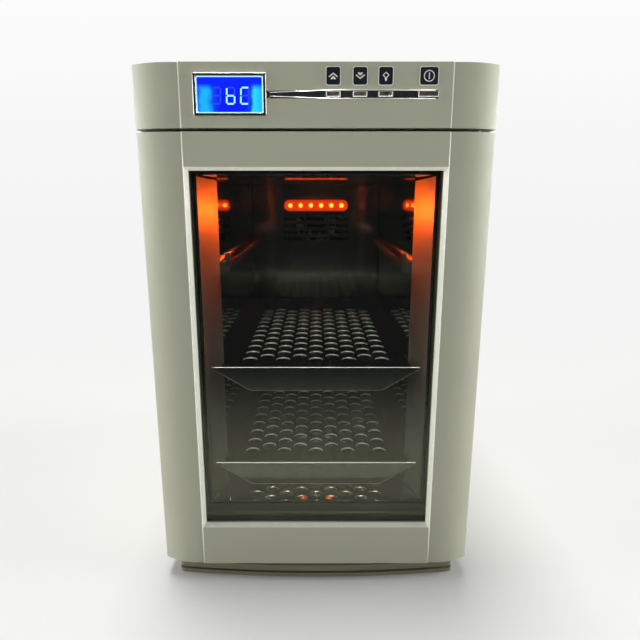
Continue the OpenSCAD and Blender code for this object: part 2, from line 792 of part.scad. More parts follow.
module button(i) {
    w = button_size(i);
    proud = 1.6;
    rim = 0.6;
    stem_end = board_e - 3 - button_travel - 0.2;
    color("#b9b3a8") from_front() {
        difference() {
            block(button_x[i], -proud, bar_z - button_h / 2, w, proud + bar_d - 1, button_h);
            block(button_x[i], -proud - cut, bar_z - button_h / 2 + rim, w - 2 * rim, 0.4 + cut, button_h - rim + cut);
        }
        block(button_x[i], bar_d - 1, bar_z - 1, 3, stem_end - bar_d + 1, 2);
    }
}

module legend_plates() {
    color("#1d2433") from_front() for (i = [0:3]) let (w = i == 3 ? 13.4 : 10.4, r = 1.4)
        translate([button_x[i], 0, legend_z]) rotate([90, 0, 0]) linear_extrude(legend_t)
            union() {
                square([w - 2 * r, legend_h], center = true);
                square([w, legend_h - 2 * r], center = true);
                for (sx = [-1, 1]) for (sy = [-1, 1])
                    translate([sx * (w / 2 - r), sy * (legend_h / 2 - r)]) circle(r = r);
            }
}

// ---- Hinges ----

module hinge_bracket_top() {
    color("#a5a5a0") from_front() {
        block(hinge_x - 4, hinge_e - 8, head_z0 + shell_t, 16, collar_e + 12 - hinge_e + 8, bracket_t);
        translate([hinge_x, hinge_e, door_z1 - bush_len + 1])
            cylinder(r = pin_r, h = head_z0 + shell_t - door_z1 + bush_len - 1);
    }
}

module hinge_bracket_bottom() {
    color("#a5a5a0") from_front() {
        block(hinge_x - 2, hinge_e - 8, plinth_h - bracket_t, 16, collar_e + 16 - hinge_e + 8, bracket_t);
        translate([hinge_x, hinge_e, plinth_h]) cylinder(r = pin_r, h = door_lift + bush_len - 1);
    }
}

module hinge_bush(z) {
    color("#e8e8e2") from_front() translate([hinge_x, hinge_e, z]) difference() {
        cylinder(r = bush_r, h = bush_len);
        translate([0, 0, -cut]) cylinder(r = pin_r + pin_clear, h = bush_len + 2 * cut);
    }
}

// ---- Door ----

module window_bevel() {
    tapered_block(-0.01, window_w / 2 + bevel_w, window_z0 - bevel_w, window_z1 + bevel_w, glass_e - 2, bevel_w,
                  bevel_w);
}

module door_shell() {
    shell_e = door_t - back_panel_t;
    boss_r = bush_r + 2;
    color("#9a9c88") from_front() difference() {
        union() {
            difference() {
                translate([0, 0, door_z0]) linear_extrude(door_z1 - door_z0) front_outline(0, shell_e);
                translate([0, 0, door_z0 + shell_t]) linear_extrude(door_z1 - door_z0 - 2 * shell_t)
                    front_outline(shell_t, shell_e + cut);
            }
            block(0, shell_t - 0.5, window_z0 - pane_lap - 2, window_w + 2 * pane_lap + 4, shell_e - shell_t + 0.5,
                  window_h + 2 * pane_lap + 4);
            for (z = [door_z0, door_z1 - bush_len - shell_t])
                translate([hinge_x, hinge_e, z]) cylinder(r = boss_r, h = bush_len + shell_t);
            block(-half_w + grip_d / 2 + 1.5, grip_e - shell_t, door_mid - grip_h / 2 - shell_t, grip_d + 3,
                  shell_e - grip_e + shell_t, grip_h + 2 * shell_t);
        }
        block(0, -cut, window_z0, window_w, door_t + 2 * cut, window_h);
        block(0, glass_e, window_z0 - pane_lap, window_w + 2 * pane_lap, door_t, window_h + 2 * pane_lap);
        window_bevel();
        for (z = [door_z0 - cut, door_z1 - bush_len])
            translate([hinge_x, hinge_e, z]) cylinder(r = bush_r, h = bush_len + cut);
        block(-half_w, grip_e, door_mid - grip_h / 2, 2 * grip_d, door_t, grip_h);
        translate([half_w, door_t + 2, door_z0 - cut]) rotate([0, 0, 45])
            translate([-4, -4, 0]) cube([8, 8, door_z1 - door_z0 + 2 * cut]);
    }
}

module door_back_panel() {
    e = door_t - back_panel_t;
    z0 = door_z0;
    z1 = door_z1;
    lap = pane_lap - spacer_w;
    color("#a3a594") from_front() difference() {
        block(0, e, z0, body_w - 1, back_panel_t, z1 - z0);
        block(0, e - cut, window_z0 - lap, window_w + 2 * lap, back_panel_t + 2 * cut, window_h + 2 * lap);
        block(-half_w, e - cut, door_mid - grip_h / 2, 2 * grip_d, back_panel_t + 2 * cut, grip_h);
        ring_frame(door_t - 1, 2, seal_outer + 1, seal_z0 - 0.5, seal_z1 + 0.5, seal_w + 1);
        translate([half_w, door_t + 2, z0 - cut]) rotate([0, 0, 45])
            translate([-4, -4, 0]) cube([8, 8, z1 - z0 + 2 * cut]);
    }
}

pane_fit = 0.5;
pane_w = window_w + 2 * (pane_lap - pane_fit);
pane_z0 = window_z0 - pane_lap + pane_fit;
pane_z1 = window_z1 + pane_lap - pane_fit;

module pane(e) {
    block(0, e, pane_z0, pane_w, glass_t, pane_z1 - pane_z0);
}

module window_outer_glass() {
    color([0.75, 0.8, 0.78, 0.35]) from_front() pane(glass_e);
}

module window_spacer() {
    color("#101010") from_front()
        ring_frame(glass_e + glass_t, inner_glass_e - glass_e - glass_t, pane_w, pane_z0, pane_z1,
                   spacer_w - pane_fit);
}

module window_inner_glass() {
    color([0.75, 0.8, 0.78, 0.35]) from_front() pane(inner_glass_e);
}

module door_gasket() {
    lip = 2;
    color("#1b1b1b") from_front() {
        ring_frame(door_t - 1, seal_t - 2, seal_outer, seal_z0, seal_z1, seal_w);
        ring_frame(door_t + seal_t - 3, 3 - seat, seal_outer - 2 * lip, seal_z0 + lip, seal_z1 - lip, seal_w - 2 * lip);
    }
}

base_plinth();
foot(-1, foot_e[0]);  // foot_front_left
foot(1, foot_e[0]);  // foot_front_right
foot(-1, foot_e[1]);  // foot_rear_left
foot(1, foot_e[1]);  // foot_rear_right
door_rest_pad();
cabinet_wrap();
cabinet_floor();
front_collar();
rear_panel();
rear_panel_screws();
fan_housing();
power_inlet();
insulation();
chamber_liner();
air_baffle();
lamp_board();
lamp_lens();
fan_frame(fan_e, fan_side);  // circulation_fan_frame
fan_rotor(fan_e, fan_side);  // circulation_fan_rotor
cold_heat_sink();
thermoelectric_module();
hot_heat_sink();
fan_frame(exhaust_e, sink_side);  // exhaust_fan_frame
fan_rotor(exhaust_e, sink_side);  // exhaust_fan_rotor
rail(-1, 0);  // rail_left_lower
rail(-1, 1);  // rail_left_middle
rail(-1, 2);  // rail_left_upper
rail(1, 0);  // rail_right_lower
rail(1, 1);  // rail_right_middle
rail(1, 2);  // rail_right_upper
shelf(0);  // shelf_lower
shelf(1);  // shelf_upper
head_shell();
display_bezel();
display_module();
control_board();
power_supply();
trim_bar();
button(0);  // button_up
button(1);  // button_down
button(2);  // button_lamp
button(3);  // button_power
legend_plates();
hinge_bracket_top();
hinge_bracket_bottom();
door_shell();
door_back_panel();
window_outer_glass();
window_spacer();
window_inner_glass();
door_gasket();
hinge_bush(door_z1 - bush_len);  // hinge_bush_top
hinge_bush(door_z0);  // hinge_bush_bottom
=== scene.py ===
"""Finishes of a compact benchtop laboratory incubator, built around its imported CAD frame.

The frame gives the places and sizes in metres: X to the right, Y from the door to the back, Z up.
Every piece keeps the form of its CAD node, with the eased corners, finish and printing of the real one.
"""

import json
import math

import bmesh
import bpy
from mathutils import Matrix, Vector

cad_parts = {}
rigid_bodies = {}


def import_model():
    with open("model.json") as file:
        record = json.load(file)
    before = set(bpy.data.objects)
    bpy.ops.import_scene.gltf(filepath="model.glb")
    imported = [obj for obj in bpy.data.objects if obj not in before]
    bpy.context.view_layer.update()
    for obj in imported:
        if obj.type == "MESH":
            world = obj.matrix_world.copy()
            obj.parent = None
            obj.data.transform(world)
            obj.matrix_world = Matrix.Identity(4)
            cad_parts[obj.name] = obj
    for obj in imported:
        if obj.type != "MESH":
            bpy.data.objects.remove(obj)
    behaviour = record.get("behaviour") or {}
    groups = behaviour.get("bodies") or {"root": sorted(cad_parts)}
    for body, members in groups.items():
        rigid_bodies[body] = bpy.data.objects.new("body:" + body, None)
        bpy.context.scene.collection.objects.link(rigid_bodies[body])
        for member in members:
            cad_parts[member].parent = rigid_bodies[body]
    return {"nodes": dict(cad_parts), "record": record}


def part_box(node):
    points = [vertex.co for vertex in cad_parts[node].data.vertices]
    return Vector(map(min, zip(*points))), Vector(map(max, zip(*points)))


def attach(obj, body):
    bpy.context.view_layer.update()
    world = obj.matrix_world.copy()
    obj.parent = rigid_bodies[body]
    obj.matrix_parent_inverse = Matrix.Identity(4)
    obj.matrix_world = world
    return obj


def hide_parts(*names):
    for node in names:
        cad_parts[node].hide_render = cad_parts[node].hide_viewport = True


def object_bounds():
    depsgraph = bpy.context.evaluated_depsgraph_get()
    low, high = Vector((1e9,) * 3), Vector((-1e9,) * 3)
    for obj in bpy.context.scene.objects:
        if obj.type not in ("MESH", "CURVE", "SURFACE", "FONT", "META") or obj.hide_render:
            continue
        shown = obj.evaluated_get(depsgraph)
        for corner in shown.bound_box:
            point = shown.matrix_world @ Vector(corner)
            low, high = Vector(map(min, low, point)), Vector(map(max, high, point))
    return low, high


bl_info = {
    "name": "Benchtop incubator finishes",
    "version": (1, 0, 0),
    "blender": (4, 5, 0),
    "location": "View3D > Sidebar > Incubator",
    "description": "Builds the visible pieces and finishes of a glass-door bench incubator",
    "category": "Object",
}

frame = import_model()
CAD_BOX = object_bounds()
MM = 0.001
ABS_IOR, PAINT_IOR, GLASS_IOR, ACRYLIC_IOR = 1.53, 1.52, 1.52, 1.49
KEYS = ("button_up", "button_down", "button_lamp", "button_power")
BODY_OF = {node: body for body, nodes in frame["record"]["behaviour"]["bodies"].items() for node in nodes}


def linear(code):
    """Linear colour from an sRGB hex code."""
    channels = [int(code[i:i + 2], 16) / 255 for i in (0, 2, 4)]
    return tuple(c / 12.92 if c <= 0.04045 else ((c + 0.055) / 1.055) ** 2.4 for c in channels)


def per_mm(size_mm):
    """Texture scale that makes one feature this many millimetres wide."""
    return 1 / (size_mm * MM)


def colour_property(label, note, code):
    return bpy.props.FloatVectorProperty(
        name=label, description=note, subtype="COLOR", size=3, min=0, max=1, default=linear(code))


def length_property(label, note, mm, low=0.0, high=1000.0):
    return bpy.props.FloatProperty(
        name=label, description=note, subtype="DISTANCE", unit="LENGTH",
        default=mm * MM, min=low * MM, max=high * MM)


# ---- What a user would change ----

class IncubatorColours(bpy.types.PropertyGroup):
    shell: colour_property("Shell", "Moulded shells of the door and the head", "B4B6A1")
    # Bevel: paler than the shell, a painted highlight on the slope round the window.
    bevel: colour_property("Bevel", "Slope round the window", "F2F3E4")
    collar: colour_property("Collar", "Moulding between the door and the cabinet", "9FA18D")
    # Plinth: this dark olive is painted shade from the door above it, darker than the plinth's own colour.
    plinth: colour_property("Plinth", "Moulded plinth", "74735C")
    cabinet: colour_property("Cabinet", "Powder coat of the steel wrap", "B0B2A0")
    black: colour_property("Black mouldings", "Fan frames, housing and inlet", "1A1B1C")
    stainless: colour_property("Stainless steel", "Liner, baffle and rails", "B5AFA6")
    shelf: colour_property("Shelf steel", "Perforated shelves", "85868B")
    # Cut edge: partly the cut steel's own colour, partly a painted highlight on the hole walls and the lips'
    # edges.
    cut_edge_and_highlight: colour_property("Cut edge", "Walls of the punched holes", "E2DDD6")
    zinc: colour_property("Zinc plate", "Brackets, screws and floor sheet", "A8ABAB")
    aluminium: colour_property("Aluminium", "Heat sinks", "C2C5C7")
    chrome: colour_property("Chrome", "Display frame and trim bar", "D2D1CE")
    key: colour_property("Keys", "Plated keys", "C9C0B4")
    rubber: colour_property("Rubber", "Seal, feet and pad", "131313")
    backlight: colour_property("Backlight", "Middle of the lit display", "0618F4")
    glow: colour_property("Display glow", "Ends of the lit display", "12B8FF")
    # Bead: also the colour of the keys' pale front rims, which are a painted highlight.
    bead: colour_property("Bead", "Bright bead of the plated trim", "F2F0EC")
    rim: colour_property("Display rim", "Lit rim round the display", "B8F4FF")
    digits: colour_property("Digits", "Lit segments", "9CF8FF")
    plate: colour_property("Legend plates", "Printed plates above the keys", "1B222E")
    print_ink: colour_property("Legend print", "Signs and outlines", "ECEDE2")
    lamp: colour_property("Lamp", "Amber chamber lamp", "FF5A14")


class IncubatorSizes(bpy.types.PropertyGroup):
    shell_edge: length_property("Shell edge", "Radius of a moulded edge", 0.7, 0.2, 2)
    sheet_edge: length_property("Sheet edge", "Radius of a sheet metal edge", 0.35, 0.1, 1)
    hole_edge: length_property("Hole rim", "Radius of a punched rim", 0.35, 0.1, 0.5)
    digit_h: length_property("Digit height", "Height of a display digit", 11, 6, 16)
    digit_w: length_property("Digit width", "Width of a display digit", 5.7, 3, 9)
    digit_pitch: length_property("Digit pitch", "Distance between two digits", 10.3, 7, 14)
    segment: length_property("Segment", "Width of a digit's segment", 1.15, 0.5, 2)
    stroke: length_property("Legend stroke", "Width of a printed line", 0.75, 0.3, 1.5)


class IncubatorStudio(bpy.types.PropertyGroup):
    camera_distance: length_property("Camera distance", "From the door to the camera", 413.1, 300, 3000)
    camera_height: length_property("Camera height", "Above the bench", 337.1, 0, 2000)
    camera_pitch: bpy.props.FloatProperty(
        name="Camera pitch", description="Downward tilt", subtype="ANGLE", unit="ROTATION",
        default=math.radians(13.2), min=0, max=1.5)
    lens: bpy.props.FloatProperty(name="Lens", description="Focal length in millimetres on a 36 mm sensor",
                                  default=29.98, min=10, max=200)
    shift: bpy.props.FloatProperty(name="Sideways shift", description="Share of the picture's width",
                                   default=4 / 640, min=-1, max=1)
    floor: colour_property("Floor", "Studio floor", "DEDEDC")


# ---- Material making ----

def add(tree, kind, inputs=None, **settings):
    """Adds a node with its settings, and links or sets its inputs."""
    node = tree.nodes.new("ShaderNode" + kind)
    for key, value in settings.items():
        setattr(node, key, value)
    put(tree, node, inputs or {})
    return node


def put(tree, node, inputs):
    """Links or sets the node's inputs."""
    for key, value in inputs.items():
        if isinstance(value, bpy.types.NodeSocket):
            tree.links.new(value, node.inputs[key])
        else:
            node.inputs[key].default_value = value


def opaque(colour):
    return (*colour, 1.0)


def shade(colour, factor):
    return (*[min(c * factor, 1.0) for c in colour], 1.0)


def new_material(name):
    """An empty material, its tree, its shader and the place on the object in metres."""
    material = bpy.data.materials.new(name)
    material.use_nodes = True
    tree = material.node_tree
    tree.nodes.clear()
    shader = add(tree, "BsdfPrincipled")
    add(tree, "OutputMaterial", {"Surface": shader.outputs[0]})
    place = add(tree, "TexCoord").outputs["Object"]
    return material, tree, shader, place


def noise(tree, place, size_mm, detail):
    return add(tree, "TexNoise", {"Vector": place, "Scale": per_mm(size_mm), "Detail": detail}).outputs[0]


def blend(tree, factor, first, second):
    return add(tree, "Mix", {0: factor, 6: first, 7: second}, data_type="RGBA").outputs[2]


def spanned(tree, value, start, end, low=0.0, high=1.0, curve="LINEAR"):
    """The value's way from start to end, told as a number from low to high."""
    return add(tree, "MapRange", {"Value": value, "From Min": start, "From Max": end, "To Min": low,
                                  "To Max": high}, interpolation_type=curve).outputs[0]


def tint(tree, place, colour, size_mm, spread, detail=3.0):
    """A colour that drifts a little, lighter and darker, over patches of this size."""
    drift = noise(tree, place, size_mm, detail)
    return blend(tree, drift, shade(colour, 1 - spread), shade(colour, 1 + spread))


def spread_roughness(tree, place, size_mm, low, high):
    return spanned(tree, noise(tree, place, size_mm, 4.0), 0.3, 0.7, low, high)


def bumped(tree, height, strength, height_mm):
    return add(tree, "Bump", {"Height": height, "Strength": strength, "Distance": height_mm * MM})


def mottled(name, colour, patch_mm, spread, haze_mm, low, high, **uniform):
    """A new material whose colour and roughness drift a little over patches of these sizes."""
    material, tree, shader, place = new_material(name)
    put(tree, shader, {"Base Color": tint(tree, place, colour, patch_mm, spread),
                       "Roughness": spread_roughness(tree, place, haze_mm, low, high), **uniform})
    return material, tree, shader, place


def add_grain(tree, shader, place, grain_mm, strength, height_mm, detail=2.0):
    """Gives the shader a fine grain of this size and height."""
    bump = bumped(tree, noise(tree, place, grain_mm, detail), strength, height_mm)
    put(tree, shader, {"Normal": bump.outputs[0]})


def spark_moulded_plastic(name, colour, low=0.42, high=0.56, grain_mm=0.7, height_mm=0.03):
    """ABS moulded in a spark-eroded tool: a fine even grain that breaks the highlight up."""
    material, tree, shader, place = mottled(name, colour, 60, 0.035, 25, low, high, IOR=ABS_IOR)
    add_grain(tree, shader, place, grain_mm, 0.35, height_mm)
    return material


def smooth_plastic(name, colour):
    """Plastic from a polished part of the mould: a clear soft highlight over a plain colour."""
    return mottled(name, colour, 30, 0.03, 8, 0.18, 0.3, IOR=ABS_IOR)[0]


def powder_coated_steel(name, colour):
    """Steel sheet with baked powder paint: satin, with the faint orange peel of the coat."""
    material, tree, shader, place = mottled(name, colour, 90, 0.03, 30, 0.38, 0.5)
    add_grain(tree, shader, place, 1.6, 0.3, 0.05, detail=1.5)
    put(tree, shader, {"IOR": PAINT_IOR, "Specular IOR Level": 0.2})
    return material


def rolled_metal(name, colour, low, high, grain_mm, stretch, wave_mm=0.0):
    """Bare rolled or drawn metal: long fine grain, and a slow wave where the sheet is thin."""
    material, tree, shader, place = new_material(name)
    grained = add(tree, "Mapping", {"Vector": place, "Scale": stretch})
    grain = noise(tree, grained.outputs[0], grain_mm, 3.0)
    put(tree, shader, {"Base Color": tint(tree, place, colour, 45, 0.05), "Metallic": 1.0,
                       "Roughness": spanned(tree, grain, 0.3, 0.7, low, high)})
    bump = bumped(tree, grain, 0.25, 0.004)
    if wave_mm:
        wave = bumped(tree, noise(tree, place, wave_mm, 0.0), 1.0, 0.5)
        put(tree, bump, {"Normal": wave.outputs[0]})
    put(tree, shader, {"Normal": bump.outputs[0]})
    return material


def brushed_metal(name, colour):
    """Steel rubbed with an abrasive pad: a broad soft sheen that takes the colour of the lamps near it."""
    return mottled(name, colour, 30, 0.05, 12, 0.42, 0.5, Metallic=0.35)[0]


def sheared_metal_and_highlight(name, colour):
    """The torn wall of a punched hole: bare and dull, its tint much paler than the rolled face, partly its
    own colour and partly a painted highlight.
    """
    return mottled(name, colour, 3, 0.12, 2, 0.5, 0.62, Metallic=1.0)[0]


def chrome_plate(name, colour, low=0.04, high=0.12):
    """Bright chromium on moulded plastic: a mirror with a soft haze and a few fine wiping marks."""
    return mottled(name, colour, 14, 0.03, 4, low, high, Metallic=1.0)[0]


def vulcanised_rubber(name, colour):
    """Extruded or moulded rubber: nearly black, with a dry bloom that greys it in patches."""
    material, tree, shader, place = mottled(name, colour, 12, 0.3, 6, 0.6, 0.8)
    add_grain(tree, shader, place, 0.5, 0.3, 0.03)
    put(tree, shader, {"Specular IOR Level": 0.35})
    return material


def clear_to_lamps(tree, shader, colour):
    """Lets the light of the lamps through, with the colour of the glass."""
    clear = add(tree, "BsdfTransparent", {"Color": opaque(colour)})
    ray = add(tree, "LightPath")
    mixed = add(tree, "MixShader", {0: ray.outputs["Is Shadow Ray"], 1: shader.outputs[0],
                                    2: clear.outputs[0]})
    put(tree, tree.nodes["Material Output"], {"Surface": mixed.outputs[0]})


def float_glass(name, colour):
    """Soda-lime float glass: clear, with a few faint smears, and open to the light of the lamps."""
    material, tree, shader, place = new_material(name)
    smear = noise(tree, place, 35, 5.0)
    put(tree, shader, {"Base Color": opaque(colour), "Transmission Weight": 1.0, "IOR": GLASS_IOR,
                       "Roughness": spanned(tree, smear, 0.5, 0.8, 0.0, 0.03)})
    clear_to_lamps(tree, shader, colour)
    return material


def frosted_lamp_lens(name, colour):
    """Acrylic lens over the lamps: it passes the amber light and glows with it round each lamp."""
    material, tree, shader, place = new_material(name)
    put(tree, shader, {"Base Color": opaque(colour), "Transmission Weight": 0.85, "IOR": ACRYLIC_IOR,
                       "Emission Color": opaque(linear("FF3A04")), "Emission Strength": 0.5,
                       "Roughness": spread_roughness(tree, place, 3, 0.05, 0.12)})
    clear_to_lamps(tree, shader, colour)
    return material


def lit_plastic(name, colour, strength, roughness=0.4):
    """A plastic face lit from behind, which gives off its own colour."""
    material, tree, shader, place = new_material(name)
    put(tree, shader, {"Base Color": shade(colour, 0.3),
                       "Emission Color": tint(tree, place, colour, 5, 0.08), "Emission Strength": strength,
                       "Roughness": roughness})
    return material


def lit_display(name, middle, glow, low, high):
    """Liquid crystal panel with edge lamps: deep blue in the middle, pale blue where the lamps sit."""
    material, tree, shader, place = new_material(name)
    put(tree, shader, {"Base Color": opaque(linear("06104A")), "Roughness": 0.22})
    parts = add(tree, "SeparateXYZ", {"Vector": place})
    across = spanned(tree, parts.outputs[0], low.x, high.x)
    drift = add(tree, "Math", {0: noise(tree, place, 7, 2.0), 1: 0.5}, operation="SUBTRACT")
    moved = add(tree, "Math", {0: drift.outputs[0], 1: 0.10, 2: across}, operation="MULTIPLY_ADD")
    ramp = add(tree, "ValToRGB", {"Fac": moved.outputs[0]})
    # Place along the panel from left to right, and the colour there.
    stops = [(0.0, linear("0A50FF")), (0.06, linear("20B4FF")), (0.16, glow), (0.24, linear("0848F4")),
             (0.34, middle), (0.74, middle), (0.82, linear("0A4CF0")), (0.86, linear("30DCFF")), (1.0, glow)]
    while len(ramp.color_ramp.elements) < len(stops):
        ramp.color_ramp.elements.new(0.5)
    for element, (position, colour) in zip(ramp.color_ramp.elements, stops):
        element.position = position
    for element, (position, colour) in zip(ramp.color_ramp.elements, stops):
        element.color = opaque(colour)
    height, fade_from, fade_to = high.z - low.z, 0.62, 0.84
    up = spanned(tree, parts.outputs[2], low.z + fade_from * height, low.z + fade_to * height,
                 curve="SMOOTHSTEP")
    put(tree, shader, {"Emission Color": blend(tree, up, ramp.outputs[0], opaque(linear("0420FA"))),
                       "Emission Strength": 1.0})
    return material


def circuit_laminate(name, colour):
    """Glass-epoxy board under green solder mask, with the weave just showing."""
    material, tree, shader, place = new_material(name)
    weave = add(tree, "TexWave", {"Vector": place, "Scale": per_mm(2.4), "Distortion": 0.4},
                bands_direction="DIAGONAL")
    put(tree, shader, {"Base Color": blend(tree, weave.outputs[1], shade(colour, 0.9), shade(colour, 1.12)),
                       "Roughness": 0.35})
    return material


def rigid_foam(name, colour):
    """Foamed polyurethane: pale, matt and finely porous."""
    material, tree, shader, place = new_material(name)
    cells = add(tree, "TexVoronoi", {"Vector": place, "Scale": per_mm(1.5)})
    bump = bumped(tree, cells.outputs[0], 0.6, 0.3)
    # Darker in the pits of the cells: painted shade in the pores.
    put(tree, shader, {"Base Color": blend(tree, cells.outputs[0], shade(colour, 0.85), opaque(colour)),
                       "Normal": bump.outputs[0], "Roughness": 0.9})
    return material


# ---- Mesh making ----

def shown(name, mesh):
    piece = bpy.data.objects.new(name, mesh)
    bpy.context.scene.collection.objects.link(piece)
    return piece


def from_bmesh(name, form, solid=True):
    """Shows the form; the faces of a solid are turned outwards first."""
    if solid:
        bmesh.ops.recalc_face_normals(form, faces=form.faces)
    mesh = bpy.data.meshes.new(name)
    form.to_mesh(mesh)
    form.free()
    return shown(name, mesh)


def applied(piece):
    """Turns the piece's modifiers into its mesh."""
    graph = bpy.context.evaluated_depsgraph_get()
    mesh = bpy.data.meshes.new_from_object(piece.evaluated_get(graph))
    piece.modifiers.clear()
    old, piece.data = piece.data, mesh
    bpy.data.meshes.remove(old)
    return piece


def surface_area(mesh):
    mesh.calc_loop_triangles()
    return sum(triangle.area for triangle in mesh.loop_triangles)


def clean_mesh(node, merged, weld=1e-6, flat_angle=0.5):
    """The node's mesh with its points welded, and where merged is true with its flat faces made whole."""
    form = bmesh.new()
    form.from_mesh(frame["nodes"][node].data)
    bmesh.ops.remove_doubles(form, verts=form.verts, dist=weld)
    if merged:
        bmesh.ops.dissolve_limit(form, angle_limit=math.radians(flat_angle), verts=form.verts,
                                 edges=form.edges)
        bmesh.ops.connect_verts_concave(form, faces=form.faces)
    form.verts.index_update()
    mesh = bpy.data.meshes.new(node + "_finished")
    mesh.from_pydata([v.co for v in form.verts], [], [[v.index for v in face.verts] for face in form.faces])
    form.free()
    return mesh


def eased(node, radius, steps):
    """The node's own form as one clean mesh, with its corners eased as the real piece has them."""
    mesh, tolerance = clean_mesh(node, True), 1e-4
    whole = surface_area(frame["nodes"][node].data)
    if abs(surface_area(mesh) - whole) > tolerance * whole:
        mesh = clean_mesh(node, False)
    return rounded(shown(node + "_finished", mesh), radius, steps)


def rounded(piece, radius, steps, least_angle=25):
    """The piece with round corners of this radius where its faces meet at more than the least angle."""
    piece.data.shade_smooth()
    bevel = piece.modifiers.new("Eased corners", "BEVEL")
    bevel.width = radius
    bevel.segments = steps
    bevel.limit_method = "ANGLE"
    bevel.angle_limit = math.radians(least_angle)
    bevel.miter_outer = "MITER_ARC"
    normals = piece.modifiers.new("Flat faces", "WEIGHTED_NORMAL")
    normals.keep_sharp = True
    return applied(piece)


def stand_for(piece, node, material):
    """The piece takes the node's place and body, with this material."""
    piece.data.materials.clear()
    piece.data.materials.append(material)
    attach(piece, BODY_OF[node])
    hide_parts(node)
    return piece


def dress(node, radius, material, steps=2):
    """Shows the node with eased corners and this material."""
    return stand_for(eased(node, radius, steps), node, material)


def trim_on(piece, node, material):
    """A printed or small piece that sits on the node and moves with it."""
    piece.data.materials.append(material)
    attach(piece, BODY_OF[node])
    return piece


def finish_node(node, material):
    """Gives a CAD node that shows its own mesh a material."""
    for slot in frame["nodes"][node].material_slots:
        slot.material = material


def flat_shape(form, points, y, thick):
    """Adds a thin plate to the form: points in X and Z, its front at y, facing the door's side."""
    front = [form.verts.new((x, y, z)) for x, z in points]
    back = [form.verts.new((x, y + thick, z)) for x, z in points]
    form.faces.new(front)
    form.faces.new(back[::-1])
    for i in range(len(points)):
        j = (i + 1) % len(points)
        form.faces.new((front[i], back[i], back[j], front[j]))


def stroke_points(a, b, width):
    """Corners of a straight line of this width from a to b."""
    a, b = Vector(a), Vector(b)
    past_end = 0.28
    side = (b - a).orthogonal().normalized() * width / 2
    along = (b - a).normalized() * width * past_end
    return [tuple(p) for p in (a - along + side, a - along - side, b + along - side, b + along + side)]


def ring_points(centre, radius, width, first, last, steps):
    """Outline of an arc-shaped line between two angles in degrees."""
    angles = [math.radians(first + (last - first) * i / steps) for i in range(steps + 1)]
    def at(r, a):
        return (centre[0] + r * math.cos(a), centre[1] + r * math.sin(a))
    return [at(radius + width / 2, a) for a in angles] + [at(radius - width / 2, a) for a in angles[::-1]]


def rounded_corners(centre, half_w, half_h, radius, steps=5):
    """Outline of a rectangle with round corners."""
    points = []
    for quarter, (sx, sz) in enumerate(((1, 1), (-1, 1), (-1, -1), (1, -1))):
        for i in range(steps + 1):
            a = math.radians(90 * quarter + 90 * i / steps)
            points.append((centre[0] + sx * (half_w - radius) + radius * math.cos(a),
                           centre[1] + sz * (half_h - radius) + radius * math.sin(a)))
    return points


def band(form, first, second):
    """Closed band of faces between two rings of points; a ring may be one point, repeated."""
    for i in range(len(first)):
        j = (i + 1) % len(first)
        form.faces.new(list(dict.fromkeys((first[i], first[j], second[j], second[i]))))


def turned(form, profile, centre, steps=20):
    """Adds a form turned about Y through centre; profile holds (radius, y) from the rim to the tip."""
    rings = []
    for radius, y in profile:
        if radius == 0:
            rings.append([form.verts.new((centre.x, centre.y + y, centre.z))] * steps)
        else:
            rings.append([form.verts.new((centre.x + radius * math.cos(2 * math.pi * i / steps), centre.y + y,
                                          centre.z + radius * math.sin(2 * math.pi * i / steps)))
                          for i in range(steps)])
    for first, second in zip(rings, rings[1:]):
        band(form, first, second)


def round_edge(form, path, y, radius, closed):
    """Adds a thin round bar along a path of points in X and Z."""
    sides, rings, count = 10, [], len(path)
    points = [Vector((x, z)) for x, z in path]
    for i, point in enumerate(points):
        before = points[i - 1] if closed or i else point
        after = points[(i + 1) % count] if closed or i < count - 1 else point
        along = (after - before).normalized()
        side = Vector((-along.y, along.x))
        rings.append([form.verts.new((point.x + side.x * radius * math.cos(a), y - radius * math.sin(a),
                                      point.y + side.y * radius * math.cos(a)))
                      for a in (2 * math.pi * k / sides for k in range(sides))])
    for first, second in zip(rings, rings[1:] + rings[:1] if closed else rings[1:]):
        band(form, first, second)
    if not closed:
        form.faces.new(rings[0][::-1])
        form.faces.new(rings[-1])


def collected(name, starts):
    """A collection of the pieces whose names start with one of these, for a light that only they see."""
    group = bpy.data.collections.new(name)
    for piece in bpy.data.objects:
        if piece.name.startswith(starts) and piece.type == "MESH":
            group.objects.link(piece)
    return group


def aimed(name, light, direction):
    """Hangs the light up so that it shines in this direction."""
    lamp = bpy.data.objects.new(name, light)
    lamp.rotation_euler = direction.to_track_quat("-Z", "Y").to_euler()
    bpy.context.scene.collection.objects.link(lamp)
    return lamp


def middle_of(node):
    low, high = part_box(node)
    return (low + high) / 2


# ---- Pieces ----

class Step:
    """A button of the add-on that makes one group of pieces."""

    def execute(self, context):
        self.build(context.scene.incubator_colours, context.scene.incubator_sizes)
        return {"FINISHED"}


